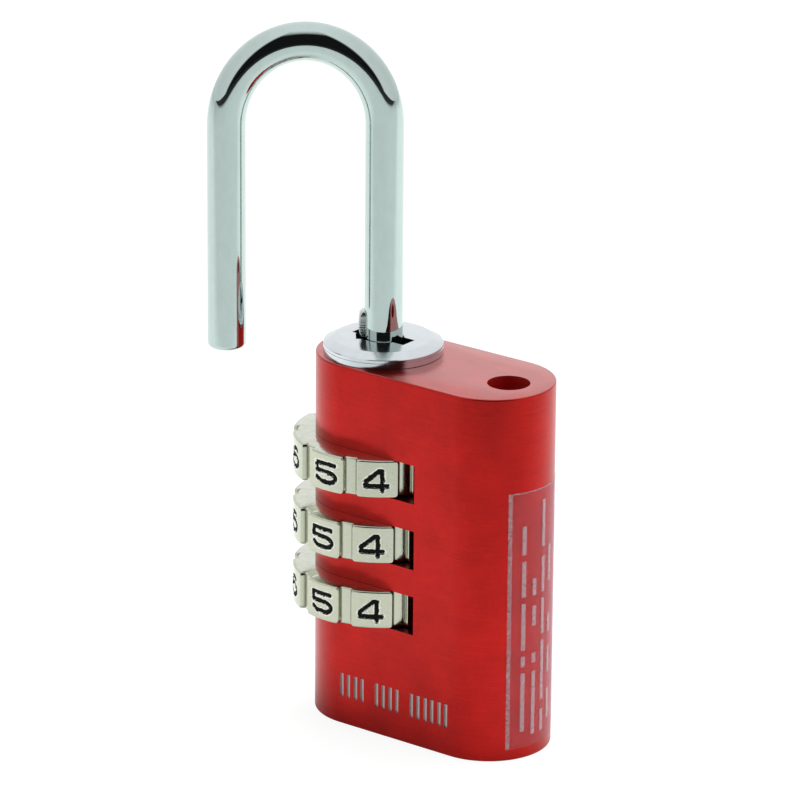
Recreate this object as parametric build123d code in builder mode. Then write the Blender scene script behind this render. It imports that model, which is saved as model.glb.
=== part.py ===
"""Combination padlock with three dials, a resettable code and a swivelling shackle.

Millimetres, +Z up. The origin is the centre of the case's bottom face, X runs along the width of
the case towards the hole that takes the short leg, and the dials are read from -Y. The lock stands
open: the shackle is raised and swivelled away from its hole.
"""
import os
from math import cos, radians, sin

from build123d import *

os.makedirs("parts", exist_ok=True)

# Case
case_width = 20.0
case_depth = 9.5
case_height = 28.6
case_edge = 0.12
end_radius = case_depth / 2

# Dial stack: the same pitch spaces the dials, the lugs and the code sleeves, and is the lift
levels = ("top", "middle", "bottom")
dial_pitch = 5.2
lift = dial_pitch
slot_height = 3.09
first_slot_top = case_height - 6.29
slot_radius = 8.16
dial_radius = 6.75
dial_height = 2.95
dial_edge = 0.15
digit_count = 10
digit_step = 360 / digit_count
flute_width = 1.27
flute_depth = 0.35
dial_recess = 3.5
dial_recess_depth = 0.78

# Long leg axis, bores and clearances
leg_x = -4.88
leg_spacing = 11.66
bore_radius = 3.5
bore_floor = 4.3
well_radius = 2.35
well_floor = 1.3
running_gap = 0.08
small_gap = 0.05
film_gap = 0.01

# Shackle
shackle_radius = 1.45
shackle_angle = -141
bow_rise = 6.42
bow_top = case_height + 25.4
bow_centre = bow_top - shackle_radius - bow_rise
short_leg_end = case_height + 0.35
long_leg_end = case_height - 20.0
leg_round = 0.4
leg_chamfer = 0.2
short_hole_radius = 1.6
short_hole_depth = 6.0

# Lugs on the long leg: the top one passes the collar, the wider ones pass the code sleeves
lug_radius = 1.95
lug_height = 2.13
lug_edge = 0.2
top_lug_width = 1.2
gate_lug_width = 1.8
top_lug_bottom = case_height + 1.17

# Collar
collar_radius = 4.51
collar_height = 1.12
collar_rim = 0.72
collar_bevel = 0.75
collar_flange = 0.22
collar_step = 0.06
spigot_length = 1.82
leg_bore = shackle_radius + running_gap
keyway_width = 1.42
keyway_radius = 2.41
parked_keyway_width = 1.32
parked_keyway_radius = 2.06

# Code sleeves, one per dial
sleeve_top = case_height - 4.3
gate_height = 1.4
sleeve_length = 5.1
gate_ring_radius = bore_radius - running_gap
skirt_radius = 3.0
skirt_bore = 2.15
gate_width = 2.1
gate_radius = 2.12
gate_angle = -4 * digit_step
spline_width = 0.7
spline_radius = 3.38
spline_gap = 0.06
spline_land = 1.0
dial_bore = skirt_radius + running_gap
dial_relief = 3.55

# Thrust washer, spring seat and the two springs on the leg axis
washer_thickness = 0.5
washer_bore = 2.25
seat_radius = 2.05
seat_thickness = 0.5
peg_radius = 1.2
peg_length = 0.6
sleeve_spring_wire = 0.4
sleeve_spring_radius = 3.05
sleeve_spring_turns = 4
lift_spring_wire = 0.3
lift_spring_radius = 1.75
lift_spring_turns = 4.5

# Detents: a round-nosed plunger and a spring behind it for each dial
plunger_radius = 0.65
plunger_length = 3.0
plunger_tip = dial_radius + small_gap
detent_bore = plunger_radius + small_gap
detent_floor = 11.8
detent_spring_wire = 0.16
detent_spring_radius = 0.5
detent_spring_turns = 5

# Edge label, a thin clear film wrapped on the round end beside the short leg hole
film_thickness = 0.06
film_bottom = 0.9
film_top = 21.2
film_angle_front = -37
film_angle_back = 40

end_centre_x = case_width / 2 - end_radius
short_hole_x = leg_x + leg_spacing
slot_tops = [first_slot_top - level * dial_pitch for level in range(len(levels))]
slot_middles = [slot_top - slot_height / 2 for slot_top in slot_tops]


def save(piece, name):
    """Label a finished piece and write it as the node of that name."""
    piece.part.label = name
    export_step(piece.part, f"parts/{name}.step")


def on_leg_axis(height):
    """Horizontal plane centred on the long leg at a given height."""
    return Plane(origin=(leg_x, 0, height))


# Case: one bar of metal, bored down the long leg and slotted across for the dials
with BuildPart() as case:
    with BuildSketch():
        SlotOverall(case_width, case_depth)
    extrude(amount=case_height)
    chamfer(case.faces().filter_by(Axis.Z).edges(), length=case_edge)
    with BuildSketch(on_leg_axis(bore_floor)):
        Circle(bore_radius)
    extrude(amount=case_height, mode=Mode.SUBTRACT)
    with BuildSketch(on_leg_axis(well_floor)):
        Circle(well_radius)
    extrude(amount=case_height, mode=Mode.SUBTRACT)
    with BuildSketch(Plane(origin=(short_hole_x, 0, case_height))):
        Circle(short_hole_radius)
    extrude(amount=-short_hole_depth, mode=Mode.SUBTRACT)
    for slot_top in slot_tops:
        with BuildSketch(on_leg_axis(slot_top)):
            Circle(slot_radius)
        extrude(amount=-slot_height, mode=Mode.SUBTRACT)
    for slot_middle in slot_middles:
        with BuildSketch(Plane(origin=(leg_x, 0, slot_middle), x_dir=(0, 1, 0), z_dir=(1, 0, 0))):
            Circle(detent_bore)
        extrude(amount=detent_floor, mode=Mode.SUBTRACT)
save(case, "case")

# Shackle: round bar bent to a U, with four lugs on the long leg facing the short leg
bow_x = cos(radians(shackle_angle))
bow_y = sin(radians(shackle_angle))
bow_plane = Plane(origin=(leg_x, 0, 0), x_dir=(bow_x, bow_y, 0), z_dir=(bow_y, -bow_x, 0))
lug_bottoms = [top_lug_bottom - index * dial_pitch for index in range(len(levels) + 1)]
with BuildPart() as shackle:
    with BuildLine(bow_plane) as centreline:
        Line((0, long_leg_end), (0, bow_centre))
        EllipticalCenterArc(
            (leg_spacing / 2, bow_centre), leg_spacing / 2, bow_rise, start_angle=180, arc_size=-180
        )
        Line((leg_spacing, bow_centre), (leg_spacing, short_leg_end))
    with BuildSketch(on_leg_axis(long_leg_end)):
        Circle(shackle_radius)
    sweep(path=centreline.wire())
    ends = shackle.faces().filter_by(Axis.Z).sort_by(Axis.Z)
    chamfer(ends[0].edges(), length=leg_chamfer)
    fillet(ends[-1].edges(), radius=leg_round)
    for index, lug_bottom in enumerate(lug_bottoms):
        lug_width = top_lug_width if index == 0 else gate_lug_width
        lug_plane = Plane(origin=(leg_x, 0, lug_bottom), x_dir=(bow_x, bow_y, 0), z_dir=(0, 0, 1))
        with BuildSketch(lug_plane):
            Circle(lug_radius)
            with Locations((lug_radius, 0)):
                Rectangle(2 * lug_radius, lug_width, mode=Mode.INTERSECT)
        extrude(amount=lug_height)
save(shackle, "shackle")

# Collar: turned ring pressed into the bore, with keyways for the top lug at the closed angle,
# at the code changing angle opposite to it and at the parked angle
with BuildPart() as collar:
    with BuildSketch(Plane.XZ):
        with BuildLine():
            Polyline(
                (leg_bore, -spigot_length),
                (bore_radius - film_gap, -spigot_length),
                (bore_radius - film_gap, 0),
                (collar_radius, 0),
                (collar_radius, collar_flange),
                (collar_radius - collar_step, collar_flange + collar_step),
                (collar_radius - collar_step, collar_rim),
                (collar_radius - collar_bevel, collar_height),
                (leg_bore, collar_height),
                close=True,
            )
        make_face()
    revolve(axis=Axis.Z)
    keyways = (
        (0, keyway_width, keyway_radius),
        (180, keyway_width, keyway_radius),
        (shackle_angle, parked_keyway_width, parked_keyway_radius),
    )
    for angle, width, reach in keyways:
        with BuildSketch(Plane.XY.rotated((0, 0, angle)).offset(-spigot_length)):
            with Locations((reach / 2, 0)):
                Rectangle(reach, width)
        extrude(amount=spigot_length + collar_height, mode=Mode.SUBTRACT)
collar.part.locate(Location((leg_x, 0, case_height)))
save(collar, "shackle_collar")

# Dials: ten raised panels between flutes; inside, a land with splines stands between a recess
# for the gate ring above and a relief below, where the sleeve's teeth run free
for level, slot_middle in zip(levels, slot_middles):
    dial_bottom = slot_middle - dial_height / 2
    dial_top = slot_middle + dial_height / 2
    with BuildPart() as dial:
        with BuildSketch(on_leg_axis(dial_bottom)):
            Circle(dial_radius)
        extrude(amount=dial_height)
        chamfer(dial.edges().filter_by(GeomType.CIRCLE), length=dial_edge)
        with BuildSketch(on_leg_axis(dial_bottom)):
            with PolarLocations(dial_radius, digit_count):
                Rectangle(2 * flute_depth, flute_width)
        extrude(amount=dial_height, mode=Mode.SUBTRACT)
        with BuildSketch(on_leg_axis(dial_bottom)):
            Circle(dial_bore)
            with PolarLocations(0, digit_count):
                with Locations((dial_bore, 0)):
                    Rectangle(2 * (spline_radius + spline_gap - dial_bore), spline_width + 2 * spline_gap)
        extrude(amount=dial_height, mode=Mode.SUBTRACT)
        with BuildSketch(on_leg_axis(dial_bottom)):
            Circle(dial_relief)
        extrude(amount=dial_height - dial_recess_depth - spline_land, mode=Mode.SUBTRACT)
        with BuildSketch(on_leg_axis(dial_top)):
            Circle(dial_recess)
        extrude(amount=-dial_recess_depth, mode=Mode.SUBTRACT)
    save(dial, f"dial_{level}")

# Code sleeves: a gate ring above the dial and a splined skirt inside it
for index, (level, slot_middle) in enumerate(zip(levels, slot_middles)):
    ring_top = sleeve_top - index * dial_pitch
    ring_bottom = ring_top - gate_height
    skirt_bottom = ring_top - sleeve_length
    dial_top = slot_middle + dial_height / 2
    with BuildPart() as sleeve:
        with BuildSketch(on_leg_axis(ring_bottom)):
            Circle(gate_ring_radius)
            Circle(leg_bore, mode=Mode.SUBTRACT)
        extrude(amount=gate_height)
        with BuildSketch(on_leg_axis(skirt_bottom)):
            Circle(skirt_radius)
            Circle(skirt_bore, mode=Mode.SUBTRACT)
        extrude(amount=ring_bottom - skirt_bottom)
        with BuildSketch(on_leg_axis(dial_top - dial_recess_depth - spline_gap)):
            with PolarLocations((skirt_radius + spline_radius) / 2 - spline_gap, digit_count):
                Rectangle(spline_radius - skirt_radius + 2 * spline_gap, spline_width)
        extrude(amount=-(spline_land - 2 * spline_gap))
        gate_plane = Plane(origin=(leg_x, 0, ring_bottom)).rotated((0, 0, gate_angle))
        with BuildSketch(gate_plane):
            with Locations((gate_radius / 2, 0)):
                Rectangle(gate_radius, gate_width)
        extrude(amount=gate_height, mode=Mode.SUBTRACT)
    save(sleeve, f"code_sleeve_{level}")

# Thrust washer between the bottom code sleeve and its spring
washer_top = sleeve_top - 2 * dial_pitch - sleeve_length - small_gap
washer_bottom = washer_top - washer_thickness
with BuildPart() as washer:
    with BuildSketch(on_leg_axis(washer_bottom)):
        Circle(gate_ring_radius)
        Circle(washer_bore, mode=Mode.SUBTRACT)
    extrude(amount=washer_thickness)
save(washer, "thrust_washer")

# Spring seat: the button under the long leg that the lift spring pushes
seat_top = long_leg_end - film_gap
seat_bottom = seat_top - seat_thickness
with BuildPart() as seat:
    with BuildSketch(on_leg_axis(seat_bottom)):
        Circle(seat_radius)
    extrude(amount=seat_thickness)
    with BuildSketch(on_leg_axis(seat_bottom)):
        Circle(peg_radius)
    extrude(amount=-peg_length)
    chamfer(seat.faces().sort_by(Axis.Z)[0].edges(), length=leg_chamfer)
save(seat, "spring_seat")


springs = (
    ("sleeve_spring", (leg_x, 0, bore_floor), (0, 0, 1), washer_bottom - bore_floor,
     sleeve_spring_radius, sleeve_spring_wire, sleeve_spring_turns),
    ("lift_spring", (leg_x, 0, well_floor), (0, 0, 1), seat_bottom - well_floor,
     lift_spring_radius, lift_spring_wire, lift_spring_turns),
)
detent_tail = leg_x + plunger_tip + plunger_length
detent_end = leg_x + detent_floor
detent_springs = tuple(
    (f"detent_spring_{level}", (detent_tail, 0, slot_middle), (1, 0, 0), detent_end - detent_tail,
     detent_spring_radius, detent_spring_wire, detent_spring_turns)
    for level, slot_middle in zip(levels, slot_middles)
)

# Springs: round wire wound between their two seats
for name, origin, axis, length, coil_radius, wire, turns in springs + detent_springs:
    coil_height = length - wire - 2 * film_gap
    with BuildPart() as spring:
        with BuildLine() as coil:
            Helix(pitch=coil_height / turns, height=coil_height, radius=coil_radius)
        with BuildSketch(Plane(origin=coil.line @ 0, z_dir=coil.line % 0)):
            Circle(wire / 2)
        sweep(is_frenet=True)
    placing = Plane(origin=origin, z_dir=axis).offset(wire / 2 + film_gap)
    spring.part.locate(placing.location)
    save(spring, name)

# Detent plungers: round-nosed pins that spring into the flute facing the solid end of the case
for level, slot_middle in zip(levels, slot_middles):
    plunger_plane = Plane(origin=(leg_x, 0, slot_middle))
    with BuildPart() as plunger:
        with BuildSketch(plunger_plane):
            with BuildLine():
                nose_centre = plunger_tip + plunger_radius
                tail = plunger_tip + plunger_length
                CenterArc((nose_centre, 0), plunger_radius, 90, 90)
                Polyline((plunger_tip, 0), (tail, 0), (tail, plunger_radius), (nose_centre, plunger_radius))
            make_face()
        revolve(axis=Axis((leg_x, 0, slot_middle), (1, 0, 0)))
    save(plunger, f"detent_plunger_{level}")

# Edge label
with BuildPart() as label:
    with BuildSketch(Plane(origin=(end_centre_x, 0, film_bottom))):
        with BuildLine():
            inner = end_radius + film_gap
            sweep_angle = film_angle_back - film_angle_front
            outer_arc = CenterArc((0, 0), inner + film_thickness, film_angle_front, sweep_angle)
            inner_arc = CenterArc((0, 0), inner, film_angle_front, sweep_angle)
            Line(inner_arc @ 0, outer_arc @ 0)
            Line(inner_arc @ 1, outer_arc @ 1)
        make_face()
    extrude(amount=film_top - film_bottom)
save(label, "edge_label")
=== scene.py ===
"""Looks of the combination padlock: polished shackle, turned collar, number dials, brushed red case.

Blender units are metres. MM turns the millimetres that the sizes are written in into metres.
"""
import math

import bmesh
import bpy
import numpy as np
from mathutils import Matrix, Vector


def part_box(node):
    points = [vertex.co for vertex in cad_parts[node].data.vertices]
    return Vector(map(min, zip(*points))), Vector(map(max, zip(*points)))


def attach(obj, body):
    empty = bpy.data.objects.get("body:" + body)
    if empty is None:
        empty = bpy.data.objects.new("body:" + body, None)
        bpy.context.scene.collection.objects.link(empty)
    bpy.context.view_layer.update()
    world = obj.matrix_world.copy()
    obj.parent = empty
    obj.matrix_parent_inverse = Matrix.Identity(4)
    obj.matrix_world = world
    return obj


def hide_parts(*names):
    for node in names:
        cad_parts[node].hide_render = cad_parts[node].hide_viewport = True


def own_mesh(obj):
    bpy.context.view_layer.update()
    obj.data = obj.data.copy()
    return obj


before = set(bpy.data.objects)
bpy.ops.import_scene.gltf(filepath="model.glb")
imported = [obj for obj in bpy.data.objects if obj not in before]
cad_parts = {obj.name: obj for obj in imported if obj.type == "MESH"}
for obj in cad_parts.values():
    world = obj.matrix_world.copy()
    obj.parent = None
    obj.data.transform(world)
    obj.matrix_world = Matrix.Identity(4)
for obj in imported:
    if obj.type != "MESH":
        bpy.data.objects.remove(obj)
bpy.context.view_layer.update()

MM = 0.001
FRONT = -math.pi / 2
LEVELS = ("top", "middle", "bottom")

# Places read from the frame, in millimetres
case_low, case_high = (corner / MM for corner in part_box("case"))
collar_low, collar_high = (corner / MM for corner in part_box("shackle_collar"))
shackle_low, shackle_high = (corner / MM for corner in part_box("shackle"))
label_low, label_high = (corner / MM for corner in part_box("edge_label"))
CASE_TOP = case_high.z
CASE_WIDTH = case_high.x - case_low.x
CASE_DEPTH = case_high.y - case_low.y
END_RADIUS = CASE_DEPTH / 2
END_X = CASE_WIDTH / 2 - END_RADIUS
LEG_X = (collar_low.x + collar_high.x) / 2

# Shackle
LEG_RADIUS = 1.45
LEG_ROUND = 0.42
LEG_CHAMFER = 0.2
LEG_SEGMENTS = 144
LEG_RINGS = 24
END_RINGS = 8
BOW_RISE = 6.42
BOW_STEPS = 72
SHORT_LEG = Vector((shackle_low.x + LEG_RADIUS, shackle_low.y + LEG_RADIUS, 0))
LEG_SPACING = math.hypot(SHORT_LEG.x - LEG_X, SHORT_LEG.y)
BOW_ANGLE = math.atan2(SHORT_LEG.y, SHORT_LEG.x - LEG_X)
BOW_TOP = shackle_high.z - LEG_RADIUS
BOW_CENTRE = BOW_TOP - BOW_RISE
LONG_END = shackle_low.z
SHORT_END = CASE_TOP + 0.35
SHACKLE_SHARP = 40

# Lugs on the long leg
LUG_RADIUS = 1.94
LUG_BOTTOM = CASE_TOP + 1.16
LUG_HEIGHT = 2.12
# from the top lug down
LUG_HALF_WIDTHS = (0.59, 0.88, 0.88, 0.88)
LUG_TOP_ROUND = 0.45
LUG_FOOT_ROUND = 0.12
LUG_RIBS = 11
LUG_RIB_DEPTH = 0.012
LUG_CORNER_STEPS = 10
LUG_FLANK_STEPS = LUG_RIBS * 8
LUG_SIDE_TAPER = 0.4
LUG_FOOT_TAPER = 0.5
LUG_ROOT = LEG_RADIUS - 0.2
LUG_SWELL = 0.22
LUG_CROWN = 0.2
LUG_CROWN_STEPS = 7
DIAL_PITCH = 5.2

# Collar, with two bands around its side and a bevel up to its flat top
COLLAR_RADIUS = (collar_high.x - collar_low.x) / 2
COLLAR_BASE = CASE_TOP + 0.004
COLLAR_BREAK = 0.03
COLLAR_EASE = 0.01
COLLAR_STEP = 0.05
# heights above the base: top of the lower band, the groove, the upper band, and the foot of the bevel
COLLAR_BAND = (0.44, 0.46, 0.50, 0.52, 0.68, 0.73)
COLLAR_BEVEL = 0.8
COLLAR_BEVEL_END = 0.84
COLLAR_BORE_CHAMFER = 0.06
COLLAR_SHARP = 24
KEYWAY_HEIGHT = 12.0
COLLAR_SEGMENTS = 256
LEG_BORE = 1.53
# angle, width and reach from the leg axis
KEYWAYS = ((0.0, 1.42, 2.41), (math.pi, 1.42, 2.41), (BOW_ANGLE, 1.32, 2.06))

# Dials
DIAL_RADIUS = 6.75
DIAL_HEIGHT = 2.95
DIAL_COLUMNS = 1080
DIAL_ROWS = 60
DIAL_BORE = 3.5
DIAL_RECESS = 5.2
DIAL_SHARP = 50
DIGIT_STEP = math.radians(36)
PANEL_HALF = math.radians(13.1)
PANEL_CORNER = 0.32
FLUTE_WALL = 0.16
FLUTE_DEPTH = 0.34
DIAL_EDGE = 0.14
DIAL_LIFT = 0.03
FRONT_DIGIT = 5
DIGIT_HALF_WIDTH = 0.85
DIGIT_HALF_HEIGHT = 0.72
DIGIT_DROP = 0.05
STROKE_HALF = 0.178
ENGRAVE_DEPTH = 0.09
PAINT_WOBBLE = 0.42
PAINT_SOFT = 0.02
# painted highlight, a bright halo measured from the edge of a stroke, and painted shade, measured from the
# foot of a flute's wall
HALO_HIGHLIGHT_SPAN = (0.03, 0.10)
FLUTE_SHADE_SPAN = (0.01, 0.08)
ENGRAVE_FLOOR = STROKE_HALF * 0.6
ENGRAVE_RIM = STROKE_HALF * 1.15
FAR_FROM_INK = 9.0
# how far each dial is turned off its exact place
DIAL_PLAY = {"top": math.radians(-1.6), "middle": math.radians(-4.2), "bottom": math.radians(-4.7)}

# Case
END_SEGMENTS = 96
EDGE_ROUND = 0.12
EDGE_STEPS = 5
CASE_SHARP = 28
BORE_RADIUS = 3.5
WELL_RADIUS = 2.35
HOLE_RADIUS = 1.6
HOLE_DEPTH = 6.0
SLOT_RADIUS = 8.16
SLOT_CLEARANCE = 0.045
BORE_SEGMENTS = 128
HOLE_SEGMENTS = 96
SLOT_SEGMENTS = 256
CUT_PAST = 1.0
HOLE_X = LEG_X + LEG_SPACING

# Plain strokes stamped in groups near the foot of the front face: where each group starts and its pairs
MARK_GROUPS = ((-4.95, 2), (-1.65, 2), (1.65, 3))
MARK_PAIR_PITCH = 1.3
MARK_STROKE_PITCH = 0.62
MARK_LOW = 2.25
MARK_HEIGHT = 1.85
MARK_WIDTH = 0.3
MARK_DEPTH = 0.12

# Springs on the leg axis: piece name, node, joint that shortens it, its travel, wire radius and turns
AXIAL_SPRINGS = (
    ("sleeve_coil", "sleeve_spring", "thrust_washer_shift", 1.3, 0.2, 4),
    ("lift_coil", "lift_spring", "shackle_slide", 5.2, 0.15, 4.5),
)
COIL_STEPS = 48
WIRE_SEGMENTS = 16
WIRE_SHARP = 50

# Label film on the rounded end, and the columns of plain bars on it in place of print
FILM_START = math.radians(-37)
FILM_END = math.radians(40)
FILM_GAP = 0.012
FILM_THICKNESS = 0.05
FILM_STRIP = 0.3
FILM_RIM = 0.08
FILM_COLUMNS = 64
FILM_SHARP = 30
# place around the end, and lower and upper height
PRINT_COLUMNS = ((-1.75, 2.2, 18.5), (-0.75, 1.8, 14.2), (0.2, 1.8, 20.2), (1.1, 1.8, 16.4))
PRINT_WIDTH = 0.34
PRINT_GAPS = 0.42
PRINT_COVER = 0.5
FILM_HAZE = 0.045

# Colours, linear, at the dark and light ends of each pattern
RED_DARK = (0.33, 0.0035, 0.002, 1)
RED_LIGHT = (0.575, 0.008, 0.005, 1)
DRILLED_DARK = (0.30, 0.002, 0.002, 1)
DRILLED_LIGHT = (0.60, 0.004, 0.003, 1)
CHROME_COLOUR = (0.50, 0.58, 0.56, 1)
LUG_COLOUR = (0.62, 0.66, 0.65, 1)
SMUDGE_TONE = 0.93
COLLAR_DARK = (0.56, 0.58, 0.61, 1)
COLLAR_LIGHT = (0.66, 0.68, 0.71, 1)
NICKEL_DARK = (0.45, 0.455, 0.365, 1)
NICKEL_LIGHT = (0.58, 0.585, 0.48, 1)
FLAT_NICKEL_DARK = (0.50, 0.50, 0.43, 1)
FLAT_NICKEL_LIGHT = (0.64, 0.64, 0.56, 1)
# painted shade along the foot of each flute's wall
FLUTE_FOOT_SHADE = (0.10, 0.095, 0.075, 1)
PIT = (0.30, 0.29, 0.24, 1)
# painted highlight: a bright halo round each number
NUMBER_HALO_HIGHLIGHT = (0.84, 0.84, 0.77, 1)
BLACK_PAINT = (0.006, 0.006, 0.005, 1)
BARE_DARK = (0.34, 0.27, 0.27, 1)
BARE_LIGHT = (0.74, 0.68, 0.68, 1)
BRASS_DARK = (0.55, 0.38, 0.16, 1)
BRASS_LIGHT = (0.75, 0.57, 0.28, 1)
STEEL_DARK = (0.38, 0.38, 0.39, 1)
STEEL_LIGHT = (0.58, 0.58, 0.60, 1)
FILM_COLOUR = (0.72, 0.52, 0.56, 1)
FILM_CLEAR = (0.96, 0.95, 0.97, 1)
PAPER_NEAR = (0.93, 0.95, 0.94, 1)
# painted shade: the paper greyer towards the camera
PAPER_FAR_SHADE = (0.70, 0.73, 0.72, 1)
PAPER_SPECK = (0.60, 0.61, 0.61, 1)
# painted shade: the paper dark at its far end, seen only in the mirrored view
PAPER_END_SHADE = (0.02, 0.02, 0.02, 1)
TENT_COLOUR = (0.97, 1.0, 0.995, 1)

# Light: how bright the tent is, and the dark opening it has around the camera
TENT_LIGHT = 1.13
OPENING_LIGHT = 0.012
OPENING_SOFTNESS = 0.16
ROOF_LOW = 0.82
ROOF_HIGH = 0.98
SIDE_SHADE = 0.8
SHADE_START = 0.2
LAMP_POWER = 3.4
LAMP_SIZE = 600
LAMP_OFFSET = Vector((60, 200, 620))
FLOOR_GLOW = 1.08
FLOOR_GLOW_SHARE = 0.8
FLOOR_HALF = 3000.0
# distances towards the camera over which the paper is painted greyer, as painted shade, and then painted
# dark at its end
FLOOR_SHADE_FADE = (8.0, 58.0)
FLOOR_SHADE_STOP = (250.0, 330.0)

# Camera, with the level directions from the lock towards it and to its right
VIEW_AZIMUTH = math.radians(37.53)
VIEW_AHEAD = (math.sin(VIEW_AZIMUTH), -math.cos(VIEW_AZIMUTH), 0)
VIEW_RIGHT = (math.cos(VIEW_AZIMUTH), math.sin(VIEW_AZIMUTH), 0)
VIEW_ELEVATION = math.radians(19.64)
VIEW_ROLL = math.radians(0.437)
VIEW_DISTANCE = 428.1
VIEW_TARGET = Vector((-3.275, 0.0, CASE_TOP - 3.585))
VIEW_LENS = 258.1
SENSOR_WIDTH = 36.0
CLIP_START = 0.01
CLIP_END = 50


# ---------------------------------------------------------------- mesh helpers


def make_object(name, points, faces, materials):
    """Mesh object from points in millimetres."""
    mesh = bpy.data.meshes.new(name)
    mesh.from_pydata([tuple(c * MM for c in p) for p in points], [], faces)
    for material in materials:
        mesh.materials.append(material)
    mesh.validate()
    obj = bpy.data.objects.new(name, mesh)
    bpy.context.scene.collection.objects.link(obj)
    return obj


def finish_piece(obj, sharp, node, body):
    """Shade a piece smooth up to an angle, hide the CAD node it takes the place of, and hang it on the body
    it rides on.
    """
    obj.data.polygons.foreach_set("use_smooth", [True] * len(obj.data.polygons))
    obj.data.set_sharp_from_angle(angle=math.radians(sharp))
    obj.data.update()
    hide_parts(node)
    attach(obj, body)


def ring_faces(rings, count, closed=False):
    """Quads between rings of points that are numbered ring by ring."""
    faces = []
    last = rings if closed else rings - 1
    for r in range(last):
        a0 = r * count
        b0 = ((r + 1) % rings) * count
        for i in range(count):
            j = (i + 1) % count
            faces.append((a0 + i, a0 + j, b0 + j, b0 + i))
    return faces


def recalculate_normals(obj):
    """Turn all faces outwards."""
    work = bmesh.new()
    work.from_mesh(obj.data)
    bmesh.ops.recalc_face_normals(work, faces=work.faces)
    work.to_mesh(obj.data)
    work.free()


def arc(cx, cy, rx, ry, start, end, steps=14):
    """Points of an elliptical arc, angles in degrees."""
    points = []
    for i in range(steps + 1):
        a = math.radians(start + (end - start) * i / steps)
        points.append((cx + rx * math.cos(a), cy + ry * math.sin(a)))
    return points


def smooth_step(value, low, high):
    """Rise from 0 at low to 1 at high, level at both ends."""
    t = np.clip((value - low) / (high - low), 0.0, 1.0)
    return t * t * (3 - 2 * t)


def between(start, end, steps):
    """Points on the straight line between two points, both ends left out."""
    return [
        (start[0] + (end[0] - start[0]) * i / steps, start[1] + (end[1] - start[1]) * i / steps)
        for i in range(1, steps)
    ]


def circle(centre, radius, height, segments):
    """Points of a level circle."""
    angles = [2 * math.pi * i / segments for i in range(segments)]
    return [(centre[0] + radius * math.cos(a), centre[1] + radius * math.sin(a), height) for a in angles]


def lathe(name, profile, centre, segments, materials):
    """Solid of revolution about +Z through centre, from a closed profile of (radius, height)."""
    points = []
    for radius, height in profile:
        points += circle(centre, radius, height, segments)
    obj = make_object(name, points, ring_faces(len(profile), segments, closed=True), materials)
    recalculate_normals(obj)
    return obj


def drum(name, radius, low, high, centre, segments, materials):
    """Closed upright cylinder, used only as a cutting tool."""
    points = circle(centre, radius, low, segments) + circle(centre, radius, high, segments)
    faces = ring_faces(2, segments)
    faces.append(tuple(reversed(range(segments))))
    faces.append(tuple(range(segments, 2 * segments)))
    return make_object(name, points, faces, materials)


def bar(name, size, matrix, materials):
    """Box used only as a cutting tool: size in millimetres, placed by a matrix in millimetres."""
    points = []
    for x in (-0.5, 0.5):
        for y in (-0.5, 0.5):
            for z in (-0.5, 0.5):
                points.append(tuple(matrix @ Vector((x * size[0], y * size[1], z * size[2]))))
    faces = [(0, 1, 3, 2), (4, 6, 7, 5), (0, 4, 5, 1), (2, 3, 7, 6), (0, 2, 6, 4), (1, 5, 7, 3)]
    return make_object(name, points, faces, materials)


def carve(obj, tools):
    """Cut tools out of obj; the cut faces take the tools' material."""
    for tool in tools:
        step = obj.modifiers.new("cut_" + tool.name, "BOOLEAN")
        step.operation = "DIFFERENCE"
        step.solver = "EXACT"
        step.object = tool
        step.material_mode = "TRANSFER"
    graph = bpy.context.evaluated_depsgraph_get()
    mesh = bpy.data.meshes.new_from_object(obj.evaluated_get(graph))
    obj.modifiers.clear()
    obj.data = mesh
    for tool in tools:
        bpy.data.objects.remove(tool)


# ---------------------------------------------------------------- materials


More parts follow.
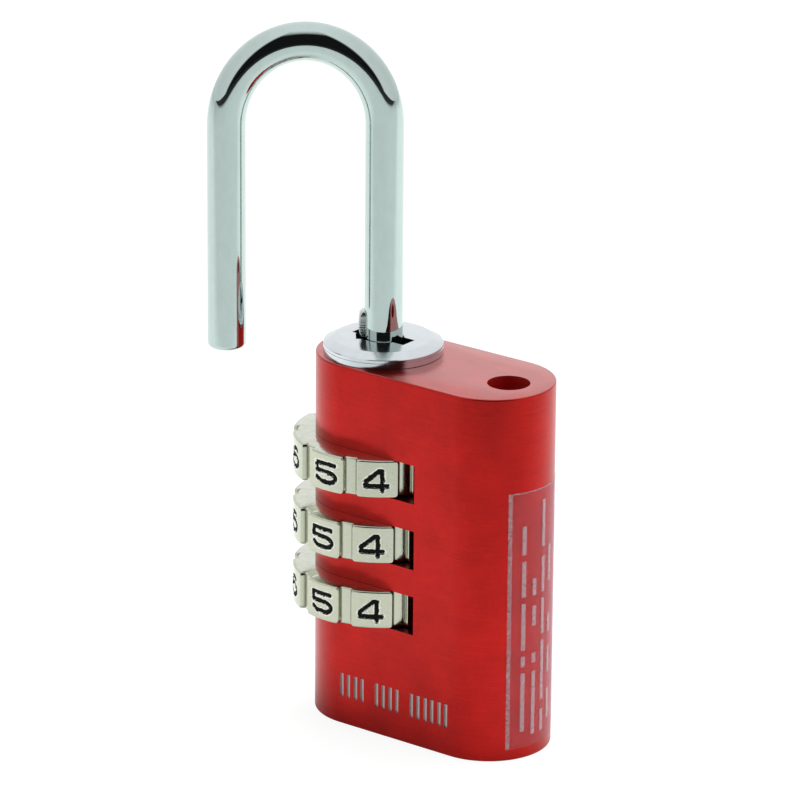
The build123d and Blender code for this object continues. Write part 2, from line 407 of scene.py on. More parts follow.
class Nodes:
    """Short words for building the node tree of a material or a world."""

    def __init__(self, owner):
        owner.use_nodes = True
        self.tree = owner.node_tree
        self.tree.nodes.clear()

    def add(self, kind, **settings):
        node = self.tree.nodes.new(kind)
        for key, value in settings.items():
            setattr(node, key, value)
        return node

    def link(self, source, target):
        self.tree.links.new(source, target)

    def put(self, socket, value):
        """Set a socket to a plain value or link it to another node's output."""
        if isinstance(value, bpy.types.NodeSocket):
            self.link(value, socket)
        else:
            socket.default_value = value

    def fill(self, node, values):
        """Set the first inputs of a node, in their order."""
        for socket, value in zip(node.inputs, values):
            self.put(socket, value)

    def feed(self, node, **values):
        """Set inputs of a node by name; underscores stand for spaces."""
        for key, value in values.items():
            self.put(node.inputs[key.replace("_", " ")], value)

    def scaled(self, vector, scale):
        node = self.add("ShaderNodeVectorMath", operation="MULTIPLY")
        self.fill(node, (vector, scale))
        return node.outputs[0]

    def along(self, vector, direction):
        """Length of a vector along a direction."""
        node = self.add("ShaderNodeVectorMath", operation="DOT_PRODUCT")
        self.fill(node, (vector, direction))
        return node.outputs["Value"]

    def axes(self, vector):
        node = self.add("ShaderNodeSeparateXYZ")
        self.put(node.inputs[0], vector)
        return node.outputs

    def combine(self, x, y, z):
        node = self.add("ShaderNodeCombineXYZ")
        self.fill(node, (x, y, z))
        return node.outputs[0]

    def math(self, operation, a, b=0.0):
        node = self.add("ShaderNodeMath", operation=operation)
        self.fill(node, (a, b))
        return node.outputs[0]

    def noise(self, vector, scale, detail=3.0, roughness=0.55):
        node = self.add("ShaderNodeTexNoise")
        self.feed(node, Vector=vector, Scale=scale, Detail=detail, Roughness=roughness)
        return node.outputs["Fac"]

    def span(self, value, low, high, to_low=0.0, to_high=1.0):
        """Map a value from one range to another, clamped."""
        node = self.add("ShaderNodeMapRange")
        self.fill(node, (value, low, high, to_low, to_high))
        return node.outputs["Result"]

    def choose(self, kind, factor, a, b):
        """Mix of two colours (RGBA), numbers (FLOAT) or vectors (VECTOR)."""
        node = self.add("ShaderNodeMix", data_type=kind)
        self.feed(node, Factor=factor, A=a, B=b)
        return node.outputs["Result"]

    def mix(self, factor, a, b):
        return self.choose("RGBA", factor, a, b)

    def blend(self, factor, a, b):
        return self.choose("FLOAT", factor, a, b)


class Surface(Nodes):
    """Node tree of a material around one Principled shader."""

    def __init__(self, name):
        self.material = bpy.data.materials.new(name)
        super().__init__(self.material)
        self.output = self.add("ShaderNodeOutputMaterial")
        self.shader = self.add("ShaderNodeBsdfPrincipled")
        self.link(self.shader.outputs[0], self.output.inputs["Surface"])

    def set(self, **values):
        self.feed(self.shader, **values)

    def position(self):
        """Point in the object's own space, in millimetres."""
        return self.scaled(self.add("ShaderNodeTexCoord").outputs["Object"], (1 / MM,) * 3)

    def attribute(self, name):
        return self.add("ShaderNodeAttribute", attribute_name=name).outputs["Fac"]

    def level_face(self, limit):
        """One where a face looks up or down more steeply than a limit, and zero on the upright sides."""
        normal = self.add("ShaderNodeNewGeometry").outputs["Normal"]
        return self.math("GREATER_THAN", self.math("ABSOLUTE", self.axes(normal)[2]), limit)

    def bump(self, height, strength, distance):
        node = self.add("ShaderNodeBump")
        self.feed(node, Strength=strength, Distance=distance * MM, Height=height)
        self.set(Normal=node.outputs[0])

    def tangent(self, flat):
        """Brushing direction: around the upright sides, and straight along X on the flat faces."""
        around = self.add("ShaderNodeTangent", direction_type="RADIAL", axis="Z").outputs[0]
        self.set(Tangent=self.choose("VECTOR", flat, around, (1, 0, 0)))

    def cover(self, factor, below, above):
        """Show one shader over another by a factor."""
        join = self.add("ShaderNodeMixShader")
        self.fill(join, (factor, below, above))
        self.link(join.outputs[0], self.output.inputs["Surface"])


def red_anodised():
    """Aluminium brushed around the case and anodised red, with a clear oxide layer on top."""
    n = Surface("red_anodised")
    point = n.position()
    upward = n.level_face(0.7)
    side_lines = n.noise(n.scaled(point, (0.35, 0.35, 14.0)), scale=1.0, detail=4.0, roughness=0.65)
    top_lines = n.noise(n.scaled(point, (0.35, 14.0, 1.0)), scale=1.0, detail=4.0, roughness=0.65)
    side_fine = n.noise(n.scaled(point, (1.5, 1.5, 40.0)), scale=1.0, detail=2.0, roughness=0.7)
    top_fine = n.noise(n.scaled(point, (1.5, 40.0, 1.0)), scale=1.0, detail=2.0, roughness=0.7)
    lines = n.blend(upward, side_lines, top_lines)
    fine = n.blend(upward, side_fine, top_fine)
    grain = n.math("ADD", n.math("MULTIPLY", lines, 0.6), n.math("MULTIPLY", fine, 0.4))
    cloud = n.noise(point, scale=0.35, detail=2.0)
    speckle = n.noise(n.scaled(point, (6.0, 6.0, 3.0)), scale=1.0, detail=3.0, roughness=0.7)
    tone = n.math("ADD", n.math("MULTIPLY", grain, 0.65), n.math("MULTIPLY", cloud, 0.3))
    tone = n.math("ADD", tone, n.math("MULTIPLY", speckle, 0.2))
    n.set(
        Base_Color=n.mix(n.span(tone, 0.42, 0.76), RED_DARK, RED_LIGHT),
        Metallic=1.0,
        Roughness=n.span(grain, 0.3, 0.7, 0.26, 0.40),
        Anisotropic=0.6,
        Coat_Weight=n.blend(upward, 0.36, n.span(grain, 0.38, 0.62, 0.68, 1.0)),
        Coat_Roughness=0.2,
        Coat_IOR=n.blend(upward, 1.42, 1.62),
    )
    n.tangent(upward)
    n.bump(grain, strength=0.35, distance=0.012)
    return n.material


def drilled_red():
    """The same red finish inside the drilled hole, dull and ringed by the drill."""
    n = Surface("drilled_red")
    rings = n.noise(n.scaled(n.position(), (1.0, 1.0, 12.0)), scale=1.0, detail=3.0, roughness=0.6)
    n.set(
        Base_Color=n.mix(rings, DRILLED_DARK, DRILLED_LIGHT),
        Metallic=0.35,
        Roughness=0.55,
    )
    n.bump(rings, strength=0.4, distance=0.02)
    return n.material


def chrome(name, colour, roughness):
    """Bright chrome plate with faint waviness, drawing marks and a few smudges."""
    n = Surface(name)
    point = n.position()
    wave = n.noise(point, scale=0.55, detail=2.0)
    smudge = n.noise(n.scaled(point, (1.0, 1.0, 0.5)), scale=1.6, detail=4.0, roughness=0.7)
    scratch = n.noise(n.scaled(point, (18.0, 18.0, 0.8)), scale=1.0, detail=2.0, roughness=0.6)
    smudged = tuple(c * SMUDGE_TONE for c in colour[:3]) + (1,)
    n.set(
        Base_Color=n.mix(n.span(smudge, 0.35, 0.75), colour, smudged),
        Metallic=1.0,
        Roughness=n.span(smudge, 0.45, 0.8, roughness, roughness + 0.05),
    )
    n.bump(n.math("ADD", wave, n.math("MULTIPLY", scratch, 0.05)), strength=0.25, distance=0.02)
    return n.material


def turned_chrome():
    """Chrome over a turned face: fine rings around the leg axis."""
    n = Surface("turned_chrome")
    point = n.axes(n.position())
    dx = n.math("SUBTRACT", point[0], LEG_X)
    squares = n.math("ADD", n.math("MULTIPLY", dx, dx), n.math("MULTIPLY", point[1], point[1]))
    radius = n.math("SQRT", squares)
    rings = n.noise(n.combine(radius, point[2], 0.0), scale=16.0, detail=3.0, roughness=0.6)
    cloud = n.noise(n.position(), scale=1.2, detail=3.0)
    n.set(
        Base_Color=n.mix(cloud, COLLAR_DARK, COLLAR_LIGHT),
        Metallic=1.0,
        Roughness=n.span(rings, 0.3, 0.7, 0.10, 0.2),
    )
    n.bump(rings, strength=0.18, distance=0.01)
    return n.material


def satin_nickel():
    """Tumbled nickel plate with small pits, black paint in the engraved numbers, painted shade along the
    foot of each flute's wall and a painted highlight round each number.
    """
    n = Surface("satin_nickel")
    point = n.position()
    grain = n.noise(point, scale=9.0, detail=4.0, roughness=0.7)
    pits = n.noise(point, scale=5.0, detail=2.0, roughness=0.5)
    streak = n.noise(n.scaled(point, (1.0, 1.0, 9.0)), scale=1.6, detail=3.0, roughness=0.6)
    ragged = n.noise(point, scale=4.5, detail=3.0, roughness=0.75)
    wobble = n.math("MULTIPLY", n.math("SUBTRACT", ragged, 0.5), PAINT_WOBBLE)
    distance = n.math("ADD", n.attribute("stroke_distance"), wobble)
    paint = n.span(distance, STROKE_HALF - PAINT_SOFT, STROKE_HALF + PAINT_SOFT, 1.0, 0.0)
    # painted highlight: a bright halo just outside each number's stroke
    halo_highlight = n.span(distance, STROKE_HALF + HALO_HIGHLIGHT_SPAN[0], STROKE_HALF + HALO_HIGHLIGHT_SPAN[1], 1.0, 0.0)
    tone = n.math("ADD", n.math("MULTIPLY", grain, 0.5), n.math("MULTIPLY", streak, 0.5))
    metal = n.mix(n.span(tone, 0.3, 0.7), NICKEL_DARK, NICKEL_LIGHT)
    flat = n.level_face(0.9)
    metal = n.mix(flat, metal, n.mix(n.span(tone, 0.3, 0.7), FLAT_NICKEL_DARK, FLAT_NICKEL_LIGHT))
    # painted shade: darker along the foot of each flute's wall, where it meets the floor
    flute_shade = n.span(n.math("ABSOLUTE", n.attribute("flute_foot")), *FLUTE_SHADE_SPAN, 0.75, 0.0)
    metal = n.mix(flute_shade, metal, FLUTE_FOOT_SHADE)
    pitted = n.mix(n.span(pits, 0.70, 0.76), metal, PIT)
    edged = n.mix(halo_highlight, pitted, NUMBER_HALO_HIGHLIGHT)
    n.set(
        Base_Color=n.mix(paint, edged, BLACK_PAINT),
        Metallic=n.span(paint, 0.0, 1.0, 1.0, 0.0),
        Roughness=n.blend(paint, n.span(grain, 0.3, 0.7, 0.09, 0.2), 0.7),
        Specular_IOR_Level=n.blend(paint, 0.5, 0.12),
    )
    n.bump(n.math("ADD", grain, n.math("MULTIPLY", pits, 0.6)), strength=0.25, distance=0.008)
    return n.material


def bare_metal():
    """Bare aluminium at the bottom of the stamped strokes."""
    n = Surface("stamped_aluminium")
    grain = n.noise(n.position(), scale=9.0, detail=4.0, roughness=0.7)
    n.set(
        Base_Color=n.mix(grain, BARE_DARK, BARE_LIGHT),
        Metallic=1.0,
        Roughness=n.span(grain, 0.3, 0.7, 0.35, 0.55),
    )
    n.bump(grain, strength=0.4, distance=0.02)
    return n.material


def plain_metal(name, dark, light, low, high):
    """Machined or drawn metal for the pieces inside."""
    n = Surface(name)
    point = n.position()
    lines = n.noise(n.scaled(point, (2.0, 2.0, 12.0)), scale=1.0, detail=3.0, roughness=0.6)
    n.set(Base_Color=n.mix(lines, dark, light), Metallic=1.0, Roughness=n.span(lines, 0.3, 0.7, low, high))
    n.bump(lines, strength=0.2, distance=0.01)
    return n.material


CHROME = chrome("chrome", CHROME_COLOUR, 0.03)
LUG_CHROME = chrome("lug_chrome", LUG_COLOUR, 0.22)
COLLAR_CHROME = turned_chrome()
NICKEL = satin_nickel()
RED = red_anodised()
DRILLED = drilled_red()
STAMPED = bare_metal()
BRASS = plain_metal("machined_brass", BRASS_DARK, BRASS_LIGHT, 0.2, 0.35)
STEEL = plain_metal("drawn_steel", STEEL_DARK, STEEL_LIGHT, 0.18, 0.3)


# ---------------------------------------------------------------- shackle


def lug_outline(half_width, inset):
    """Outline of a lug as (across, up) from its foot, anticlockwise: ribbed flanks and rounded corners."""
    half = half_width - inset * LUG_SIDE_TAPER
    low = inset * LUG_FOOT_TAPER
    high = LUG_HEIGHT - inset
    points = []
    for cx, cy, radius, start in (
        (half - LUG_FOOT_ROUND, low + LUG_FOOT_ROUND, LUG_FOOT_ROUND, -90),
        (half - LUG_TOP_ROUND, high - LUG_TOP_ROUND, LUG_TOP_ROUND, 0),
        (-half + LUG_TOP_ROUND, high - LUG_TOP_ROUND, LUG_TOP_ROUND, 90),
        (-half + LUG_FOOT_ROUND, low + LUG_FOOT_ROUND, LUG_FOOT_ROUND, 180),
    ):
        corner = arc(cx, cy, radius, radius, start, start + 90, LUG_CORNER_STEPS)
        if points:
            points += between(points[-1], corner[0], LUG_FLANK_STEPS)
        points += corner
    rib = 2 * math.pi * LUG_RIBS / LUG_HEIGHT
    return [(x - math.copysign(LUG_RIB_DEPTH * (1 + math.cos(rib * y)) / 2, x), y) for x, y in points]


def add_lug(points, faces, outward, side, index):
    """Add one closed lug that stands off the long leg to the points and faces of the shackle."""
    first = len(points)
    base = Vector((LEG_X, 0, LUG_BOTTOM - index * DIAL_PITCH))
    layers = [(LUG_ROOT, 0.0)]
    for i in range(LUG_CROWN_STEPS + 1):
        a = math.pi / 2 * i / LUG_CROWN_STEPS
        layers.append((LUG_RADIUS - LUG_CROWN * (1 - math.sin(a)), LUG_CROWN * (1 - math.cos(a))))
    for radius, inset in layers:
        outline = lug_outline(LUG_HALF_WIDTHS[index], inset)
        for across, up in outline:
            swell = max(1 - (2 * up / LUG_HEIGHT - 1) ** 2, 0.0) ** LUG_SWELL
            bulged = LUG_ROOT + (radius - LUG_ROOT) * swell
            reach = math.sqrt(bulged * bulged - across * across)
            points.append(base + outward * reach + side * across + Vector((0, 0, up)))
    count = len(outline)
    for face in ring_faces(len(layers), count):
        faces.append(tuple(first + i for i in face))
    faces.append(tuple(first + i for i in reversed(range(count))))
    last = first + (len(layers) - 1) * count
    faces.append(tuple(last + i for i in range(count)))


def build_shackle():
    bow = Vector((math.cos(BOW_ANGLE), math.sin(BOW_ANGLE), 0))
    side = Vector((-math.sin(BOW_ANGLE), math.cos(BOW_ANGLE), 0))
    up = Vector((0, 0, 1))
    origin = Vector((LEG_X, 0, 0))
    points = []

    def ring(centre, inward, radius):
        for i in range(LEG_SEGMENTS):
            a = 2 * math.pi * i / LEG_SEGMENTS
            points.append(centre + radius * (math.cos(a) * inward + math.sin(a) * side))

    ring(origin + up * LONG_END, bow, LEG_RADIUS - LEG_CHAMFER)
    for height in np.linspace(LONG_END + LEG_CHAMFER, BOW_CENTRE, LEG_RINGS)[:-1]:
        ring(origin + up * float(height), bow, LEG_RADIUS)
    half = LEG_SPACING / 2
    for i in range(BOW_STEPS + 1):
        t = math.pi * i / BOW_STEPS
        centre = origin + bow * (half - half * math.cos(t)) + up * (BOW_CENTRE + BOW_RISE * math.sin(t))
        along = bow * (half * math.sin(t)) + up * (BOW_RISE * math.cos(t))
        along.normalize()
        ring(centre, side.cross(along), LEG_RADIUS)
    end_centre = origin + bow * LEG_SPACING
    straight = BOW_CENTRE - SHORT_END - LEG_ROUND
    for i in range(1, END_RINGS + 1):
        ring(end_centre + up * (BOW_CENTRE - straight * i / END_RINGS), -bow, LEG_RADIUS)
    for i in range(1, END_RINGS + 1):
        t = math.pi / 2 * i / END_RINGS
        height = SHORT_END + LEG_ROUND * (1 - math.sin(t))
        ring(end_centre + up * height, -bow, LEG_RADIUS - LEG_ROUND * (1 - math.cos(t)))
    rings = len(points) // LEG_SEGMENTS
    faces = ring_faces(rings, LEG_SEGMENTS)
    faces.append(tuple(range(LEG_SEGMENTS)))
    faces.append(tuple(reversed(range((rings - 1) * LEG_SEGMENTS, rings * LEG_SEGMENTS))))
    leg_faces = len(faces)
    for index in range(len(LUG_HALF_WIDTHS)):
        add_lug(points, faces, bow, side, index)
    shackle = make_object("shackle_bar", points, faces, [CHROME, LUG_CHROME])
    for polygon in shackle.data.polygons[leg_faces:]:
        polygon.material_index = 1
    recalculate_normals(shackle)
    finish_piece(shackle, SHACKLE_SHARP, "shackle", "shackle")


# ---------------------------------------------------------------- collar


def build_collar():
    outer = COLLAR_RADIUS
    top = collar_high.z
    band_top, groove_low, groove_high, rim_low, rim_high, bevel_low = (
        COLLAR_BASE + height for height in COLLAR_BAND
    )
    fit = BORE_RADIUS - COLLAR_EASE
    profile = [
        (LEG_BORE, collar_low.z), (fit, collar_low.z), (fit, COLLAR_BASE),
        (outer - COLLAR_BREAK, COLLAR_BASE), (outer, COLLAR_BASE + COLLAR_BREAK), (outer, band_top),
        (outer - COLLAR_STEP, groove_low), (outer - COLLAR_STEP, groove_high),
        (outer - COLLAR_EASE, rim_low), (outer - COLLAR_EASE, rim_high), (outer - COLLAR_STEP, bevel_low),
        (outer - COLLAR_BEVEL, top - COLLAR_EASE), (outer - COLLAR_BEVEL_END, top),
        (LEG_BORE + COLLAR_BORE_CHAMFER, top), (LEG_BORE, top - COLLAR_BORE_CHAMFER),
    ]
    collar = lathe("collar_ring", profile, (LEG_X, 0), COLLAR_SEGMENTS, [COLLAR_CHROME])
    tools = []
    for index, (angle, width, reach) in enumerate(KEYWAYS):
        place = Matrix.Translation((LEG_X, 0, CASE_TOP)) @ Matrix.Rotation(angle, 4, "Z")
        place = place @ Matrix.Translation((reach / 2, 0, 0))
        tools.append(bar(f"keyway_{index}", (reach, width, KEYWAY_HEIGHT), place, [COLLAR_CHROME]))
    carve(collar, tools)
    finish_piece(collar, COLLAR_SHARP, "shackle_collar", "case")


# ---------------------------------------------------------------- dials


# Centre lines of the numbers in a box from -1 to 1 both ways
DIGITS = {
    0: [arc(0, 0, 0.85, 1.0, 0, 360, 28)],
    1: [[(-0.5, 0.55), (0.1, 1.0), (0.1, -1.0)]],
    2: [arc(0, 0.42, 0.85, 0.58, 165, -30) + [(-0.9, -1.0), (0.95, -1.0)]],
    3: [arc(-0.1, 0.5, 0.85, 0.5, 140, -90) + arc(-0.1, -0.5, 1.0, 0.5, 90, -145)],
    4: [[(0.45, -1.12), (0.45, 1.0), (0.15, 1.0), (-1.04, -0.2), (-1.04, -0.64), (0.92, -0.64)]],
    5: [
        [(1.0, 1.0), (-0.97, 1.0), (-0.97, 0.2)]
        + arc(0.32, -0.42, 0.8, 0.56, 100, -100)
        + [(-0.5, -0.94), (-0.97, -0.6)]
    ],
    6: [arc(0, -0.38, 0.88, 0.62, 0, 360, 24), [(-0.88, -0.38)] + arc(0.12, 0.0, 1.0, 1.0, 180, 60)],
    7: [[(-0.95, 1.0), (0.95, 1.0), (-0.15, -1.0)]],
    8: [arc(0, 0.5, 0.72, 0.5, 0, 360, 20), arc(0, -0.5, 0.9, 0.5, 0, 360, 20)],
    9: [arc(0, 0.38, 0.88, 0.62, 0, 360, 24), [(0.88, 0.38)] + arc(-0.12, 0.0, 1.0, 1.0, 0, -120)],
}


def stroke_distance(u, v, digit):
    """Distance in millimetres from points on a panel to the centre line of its number."""
    best = np.full(u.shape, FAR_FROM_INK)
    for line in DIGITS[digit]:
        scaled = [(x * DIGIT_HALF_WIDTH, y * DIGIT_HALF_HEIGHT) for x, y in line]
        for (x0, y0), (x1, y1) in zip(scaled, scaled[1:]):
            dx = x1 - x0
            dy = y1 - y0
            length = dx * dx + dy * dy
            if length == 0:
                continue
            t = np.clip(((u - x0) * dx + (v - y0) * dy) / length, 0, 1)
            best = np.minimum(best, np.hypot(u - x0 - t * dx, v - y0 - t * dy))
    return best


def build_dial(level):
    low, high = (corner.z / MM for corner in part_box(f"dial_{level}"))
    middle = (low + high) / 2 + DIAL_LIFT
    half = DIAL_HEIGHT / 2
    angles = np.arange(DIAL_COLUMNS) * 2 * math.pi / DIAL_COLUMNS
    rows = np.linspace(-half, half, DIAL_ROWS)
    theta, z = np.meshgrid(angles, rows)
    turn = (theta - FRONT) / DIGIT_STEP
    panel = np.round(turn)
    u = (turn - panel) * DIGIT_STEP * DIAL_RADIUS
    # rounded rectangle of each raised panel
    across = np.abs(u) - (PANEL_HALF * DIAL_RADIUS - PANEL_CORNER)
    upward = np.abs(z) - (half - PANEL_CORNER)
    outside = np.hypot(np.maximum(across, 0), np.maximum(upward, 0))
    beyond = outside + np.minimum(np.maximum(across, upward), 0) - PANEL_CORNER
    radius = DIAL_RADIUS - FLUTE_DEPTH * smooth_step(beyond, 0.0, FLUTE_WALL)
    # rounded upper and lower edges of the whole ring
    edge = np.clip(np.abs(z) - (half - DIAL_EDGE), 0, DIAL_EDGE)
    radius = radius - (DIAL_EDGE - np.sqrt(np.maximum(DIAL_EDGE**2 - edge**2, 0)))
    distance = np.full(theta.shape, FAR_FROM_INK)
    for k in range(len(DIGITS)):
        digit = (FRONT_DIGIT - k) % len(DIGITS)
        chosen = (panel.astype(int) % len(DIGITS)) == k
        distance[chosen] = stroke_distance(u[chosen], z[chosen] + DIGIT_DROP, digit)
    radius = radius - ENGRAVE_DEPTH * (1 - smooth_step(distance, ENGRAVE_FLOOR, ENGRAVE_RIM))

    spin = theta + DIAL_PLAY[level]
    outer = np.stack([LEG_X + radius * np.cos(spin), radius * np.sin(spin), middle + z], -1)
    points = outer.reshape(-1, 3).tolist()
    values = distance.reshape(-1).tolist()
    feet = (beyond - FLUTE_WALL).reshape(-1).tolist()
    spin_row = angles + DIAL_PLAY[level]
    inner = ((DIAL_RECESS, half), (DIAL_BORE, half), (DIAL_BORE, -half), (DIAL_RECESS, -half))
    for ring_radius, height in inner:
        for a in spin_row:
            points.append((LEG_X + ring_radius * math.cos(a), ring_radius * math.sin(a), middle + height))
            values.append(FAR_FROM_INK)
            feet.append(FAR_FROM_INK)
    faces = ring_faces(DIAL_ROWS + len(inner), DIAL_COLUMNS, closed=True)
    dial = make_object(f"number_ring_{level}", points, faces, [NICKEL])
    for attribute, numbers in (("stroke_distance", values), ("flute_foot", feet)):
        store = dial.data.attributes.new(attribute, "FLOAT", "POINT")
        store.data.foreach_set("value", numbers)
    recalculate_normals(dial)
    finish_piece(dial, DIAL_SHARP, f"dial_{level}", f"dial_{level}")


# ---------------------------------------------------------------- case


def case_outline():
    """Centre and angle of every point around the case, anticlockwise."""
    points = []
    for centre_x, start in ((END_X, -math.pi / 2), (-END_X, math.pi / 2)):
        for i in range(END_SEGMENTS + 1):
            points.append((centre_x, start + math.pi * i / END_SEGMENTS))
    return points


def build_case():
    outline = case_outline()
    count = len(outline)
    points = []
    edge = []
    for i in range(EDGE_STEPS + 1):
        t = math.pi / 2 * i / EDGE_STEPS
        edge.append((EDGE_ROUND * (1 - math.sin(t)), EDGE_ROUND * (1 - math.cos(t))))
    profile = edge + [(inset, CASE_TOP - height) for inset, height in reversed(edge)]
    for inset, height in profile:
        for centre_x, angle in outline:
            reach = END_RADIUS - inset
            points.append((centre_x + reach * math.cos(angle), reach * math.sin(angle), height))
    faces = ring_faces(len(profile), count)
    faces.append(tuple(reversed(range(count))))
    faces.append(tuple(range((len(profile) - 1) * count, len(profile) * count)))
    case = make_object("case_body", points, faces, [RED, STAMPED, DRILLED])

    axis = (LEG_X, 0)
    bore_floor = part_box("sleeve_spring")[0].z / MM
    well_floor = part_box("lift_spring")[0].z / MM
    above = CASE_TOP + CUT_PAST
    tools = [
        drum("bore", BORE_RADIUS, bore_floor, above, axis, BORE_SEGMENTS, [RED]),
        drum("well", WELL_RADIUS, well_floor, CASE_TOP, axis, HOLE_SEGMENTS, [RED]),
        drum("leg_hole", HOLE_RADIUS, CASE_TOP - HOLE_DEPTH, above, (HOLE_X, 0), HOLE_SEGMENTS, [DRILLED]),
    ]
    for level in LEVELS:
        low, high = (corner.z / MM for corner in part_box(f"dial_{level}"))
        floor = low - SLOT_CLEARANCE
        ceiling = high + SLOT_CLEARANCE
        tools.append(drum(f"slot_{level}", SLOT_RADIUS, floor, ceiling, axis, SLOT_SEGMENTS, [RED]))
    for start, pairs in MARK_GROUPS:
        for i in range(2 * pairs):
            x = start + (i // 2) * MARK_PAIR_PITCH + (i % 2) * MARK_STROKE_PITCH
            place = Matrix.Translation((x, -END_RADIUS, MARK_LOW + MARK_HEIGHT / 2))
            tools.append(bar(f"mark_{x:.2f}", (MARK_WIDTH, 2 * MARK_DEPTH, MARK_HEIGHT), place, [STAMPED]))
    carve(case, tools)
    finish_piece(case, CASE_SHARP, "case", "case")


# ---------------------------------------------------------------- label


def clear_film():
    """Clear film with a dull edge strip and rows of plain pale bars in place of print."""
    n = Surface("clear_film")
    point = n.axes(n.position())
    angle = n.math("ARCTAN2", point[1], n.math("SUBTRACT", point[0], END_X))
    across = n.math("MULTIPLY", angle, END_RADIUS)
    height = point[2]
    ink = 0.0
    for column, (place, low, high) in enumerate(PRINT_COLUMNS):
        beside = n.math("LESS_THAN", n.math("ABSOLUTE", n.math("SUBTRACT", across, place)), PRINT_WIDTH / 2)
        inside = n.math("MULTIPLY", n.math("GREATER_THAN", height, low), n.math("LESS_THAN", height, high))
        words = n.noise(n.combine(5.0 * column, 0.0, height), scale=0.9, detail=0.0)
        dash = n.math("GREATER_THAN", words, PRINT_GAPS)
        spot = n.math("MULTIPLY", n.math("MULTIPLY", beside, inside), dash)
        ink = n.math("MAXIMUM", ink, spot)
    wear = n.span(n.noise(n.position(), scale=6.0, detail=3.0, roughness=0.7), 0.35, 0.55, 0.45, 1.0)
    ink = n.math("MULTIPLY", ink, wear)
    strip = n.math("LESS_THAN", across, FILM_START * END_RADIUS + FILM_STRIP)
    rough = n.noise(n.scaled(n.position(), (4.0, 4.0, 9.0)), scale=1.0, detail=4.0, roughness=0.7)
    rim = n.math("GREATER_THAN", height, label_high.z - FILM_RIM)
    frost = n.math("MULTIPLY", n.math("MAXIMUM", strip, rim), n.span(rough, 0.3, 0.7, 0.05, 0.5))
    n.set(
        Base_Color=FILM_COLOUR,
        Roughness=n.span(rough, 0.3, 0.7, 0.18, 0.34),
        IOR=1.5,
    )
    clear = n.add("ShaderNodeBsdfTransparent")
    n.feed(clear, Color=FILM_CLEAR)
    seen = n.math("MAXIMUM", n.math("MULTIPLY", ink, PRINT_COVER), n.math("MAXIMUM", frost, FILM_HAZE))
    n.cover(seen, clear.outputs[0], n.shader.outputs[0])
    return n.material


def build_label():
    inner = END_RADIUS + FILM_GAP
    bottom = label_low.z
    top = label_high.z
    points = []
    for radius in (inner, inner + FILM_THICKNESS):
        for z in (bottom, top):
            for i in range(FILM_COLUMNS + 1):
                a = FILM_START + (FILM_END - FILM_START) * i / FILM_COLUMNS
                points.append((END_X + radius * math.cos(a), radius * math.sin(a), z))
    count = FILM_COLUMNS + 1
    faces = []
    for i in range(FILM_COLUMNS):
        faces.append((2 * count + i, 2 * count + i + 1, 3 * count + i + 1, 3 * count + i))
        faces.append((i + 1, i, count + i, count + i + 1))
        faces.append((i, i + 1, 2 * count + i + 1, 2 * count + i))
        faces.append((count + i + 1, count + i, 3 * count + i, 3 * count + i + 1))
    faces.append((0, 2 * count, 3 * count, count))
    faces.append((count - 1, 2 * count - 1, 4 * count - 1, 3 * count - 1))
    label = make_object("label_film", points, faces, [clear_film()])
    recalculate_normals(label)
    finish_piece(label, FILM_SHARP, "edge_label", "case")


# ---------------------------------------------------------------- pieces inside


def build_axial_spring(name, node, joint, travel, wire, turns):
    """Round wire wound between its two seats."""
    low, high = (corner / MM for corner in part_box(node))
    coil_radius = (high.x - low.x) / 2 - wire
    rise = high.z - low.z - 2 * wire
    steps = round(turns * COIL_STEPS)
    points = []
    for i in range(steps + 1):
        a = 2 * math.pi * turns * i / steps
        outward = Vector((math.cos(a), math.sin(a), 0))
        centre = Vector((LEG_X, 0, low.z + wire + rise * i / steps)) + coil_radius * outward
        along = Vector((-math.sin(a), math.cos(a), rise / (2 * math.pi * turns * coil_radius))).normalized()
        upward = outward.cross(along)
        for j in range(WIRE_SEGMENTS):
            b = 2 * math.pi * j / WIRE_SEGMENTS
            points.append(centre + wire * (math.cos(b) * outward + math.sin(b) * upward))
    faces = ring_faces(steps + 1, WIRE_SEGMENTS)
    faces.append(tuple(range(WIRE_SEGMENTS)))
    faces.append(tuple(reversed(range(steps * WIRE_SEGMENTS, (steps + 1) * WIRE_SEGMENTS))))
    coil = make_object(name, points, faces, [STEEL])
    recalculate_normals(coil)
    finish_piece(coil, WIRE_SHARP, node, "case")
    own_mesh(coil)


def finish_inside():
    """Metals on the CAD pieces that stay."""
    for name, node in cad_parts.items():
        if name.startswith("code_sleeve") or name == "spring_seat":
            material = BRASS
        elif "spring" in name or "washer" in name or "plunger" in name:
            material = STEEL
        else:
            continue
        node.data.materials.clear()
        node.data.materials.append(material)


# ---------------------------------------------------------------- stage, light and camera


def build_camera():
    right = Vector(VIEW_RIGHT)
    back = math.cos(VIEW_ELEVATION) * Vector(VIEW_AHEAD) + Vector((0, 0, math.sin(VIEW_ELEVATION)))
    up = back.cross(right)
    rolled_right = math.cos(VIEW_ROLL) * right + math.sin(VIEW_ROLL) * up
    rolled_up = -math.sin(VIEW_ROLL) * right + math.cos(VIEW_ROLL) * up
    data = bpy.data.cameras.new("camera")
    data.lens = VIEW_LENS
    data.sensor_width = SENSOR_WIDTH
    data.clip_start = CLIP_START
    data.clip_end = CLIP_END
    camera = bpy.data.objects.new("camera", data)
    turn = Matrix((rolled_right, rolled_up, back)).transposed().to_4x4()
    camera.matrix_world = Matrix.Translation((VIEW_TARGET + back * VIEW_DISTANCE) * MM) @ turn
    bpy.context.scene.collection.objects.link(camera)
    bpy.context.scene.camera = camera


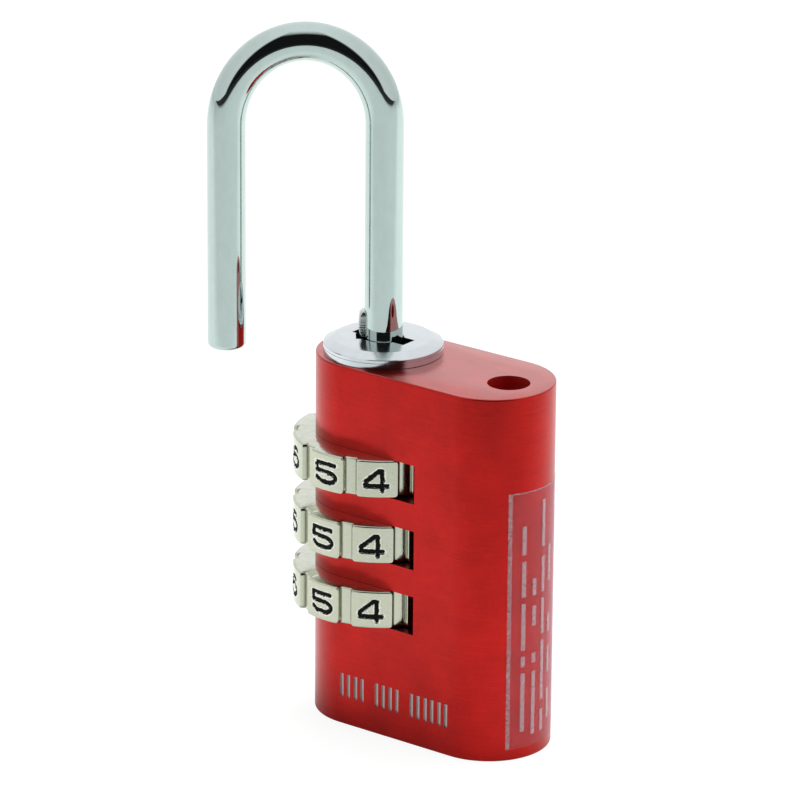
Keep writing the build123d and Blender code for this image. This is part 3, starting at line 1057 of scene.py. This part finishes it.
def build_floor():
    """White paper, painted greyer towards the camera; its far front is painted dark for the mirrored view
    only, all as painted shade.
    """
    corners = ((-1, -1), (1, -1), (1, 1), (-1, 1))
    points = [(x * FLOOR_HALF, y * FLOOR_HALF, 0) for x, y in corners]
    n = Surface("paper_floor")
    speckle = n.noise(n.position(), scale=0.8, detail=3.0)
    ahead = n.along(n.position(), VIEW_AHEAD)
    # painted shade: greyer towards the camera, then dark far in front
    far = n.span(ahead, *FLOOR_SHADE_FADE)
    paper = n.mix(far, PAPER_NEAR, PAPER_FAR_SHADE)
    paper = n.mix(n.math("MULTIPLY", speckle, 0.1), paper, PAPER_SPECK)
    n.set(
        Base_Color=n.mix(n.span(ahead, *FLOOR_SHADE_STOP), paper, PAPER_END_SHADE),
        Roughness=0.9,
        Specular_IOR_Level=0.1,
    )
    glow = n.add("ShaderNodeEmission")
    n.feed(glow, Strength=FLOOR_GLOW)
    camera_ray = n.add("ShaderNodeLightPath").outputs["Is Camera Ray"]
    n.cover(n.math("MULTIPLY", camera_ray, FLOOR_GLOW_SHARE), n.shader.outputs[0], glow.outputs[0])
    floor = make_object("floor", points, [(0, 1, 2, 3)], [n.material])


def add_lamp():
    """Large soft lamp overhead, a little behind; the polished metal mirrors the tent and not the lamp."""
    data = bpy.data.lights.new("overhead", "AREA")
    data.shape = "SQUARE"
    data.size = LAMP_SIZE * MM
    data.energy = LAMP_POWER
    lamp = bpy.data.objects.new("overhead", data)
    lamp.location = (Vector((0, 0, CASE_TOP)) + LAMP_OFFSET) * MM
    lamp.rotation_euler = LAMP_OFFSET.to_track_quat("Z", "Y").to_euler()
    lamp.visible_glossy = False
    bpy.context.scene.collection.objects.link(lamp)


def build_world():
    """White tent with a dark opening around the camera, which the polished bow mirrors."""
    world = bpy.data.worlds.new("studio")
    bpy.context.scene.world = world
    n = Nodes(world)
    output = n.add("ShaderNodeOutputWorld")
    tent = n.add("ShaderNodeBackground")
    direction = n.add("ShaderNodeTexCoord").outputs["Generated"]
    beside = n.math("ABSOLUTE", n.along(direction, VIEW_RIGHT))
    wedge = n.math("SUBTRACT", n.along(direction, VIEW_AHEAD), beside)
    opening = n.span(wedge, 0.0, OPENING_SOFTNESS, TENT_LIGHT, OPENING_LIGHT)
    roof = n.span(n.along(direction, (0, 0, 1)), ROOF_LOW, ROOF_HIGH, OPENING_LIGHT, TENT_LIGHT)
    shade = n.span(beside, SHADE_START, 1.0, 1.0, SIDE_SHADE)
    mirrored = n.math("MULTIPLY", n.math("MAXIMUM", opening, roof), shade)
    camera_ray = n.add("ShaderNodeLightPath").outputs["Is Camera Ray"]
    n.feed(tent, Color=TENT_COLOUR, Strength=n.math("MAXIMUM", mirrored, camera_ray))
    n.link(tent.outputs[0], output.inputs[0])


def build_studio():
    scene = bpy.context.scene
    scene.view_settings.view_transform = "Standard"
    build_world()
    build_floor()
    add_lamp()
    build_camera()


build_shackle()
build_collar()
for level in LEVELS:
    build_dial(level)
build_case()
build_label()
for spring in AXIAL_SPRINGS:
    build_axial_spring(*spring)
finish_inside()
build_studio()
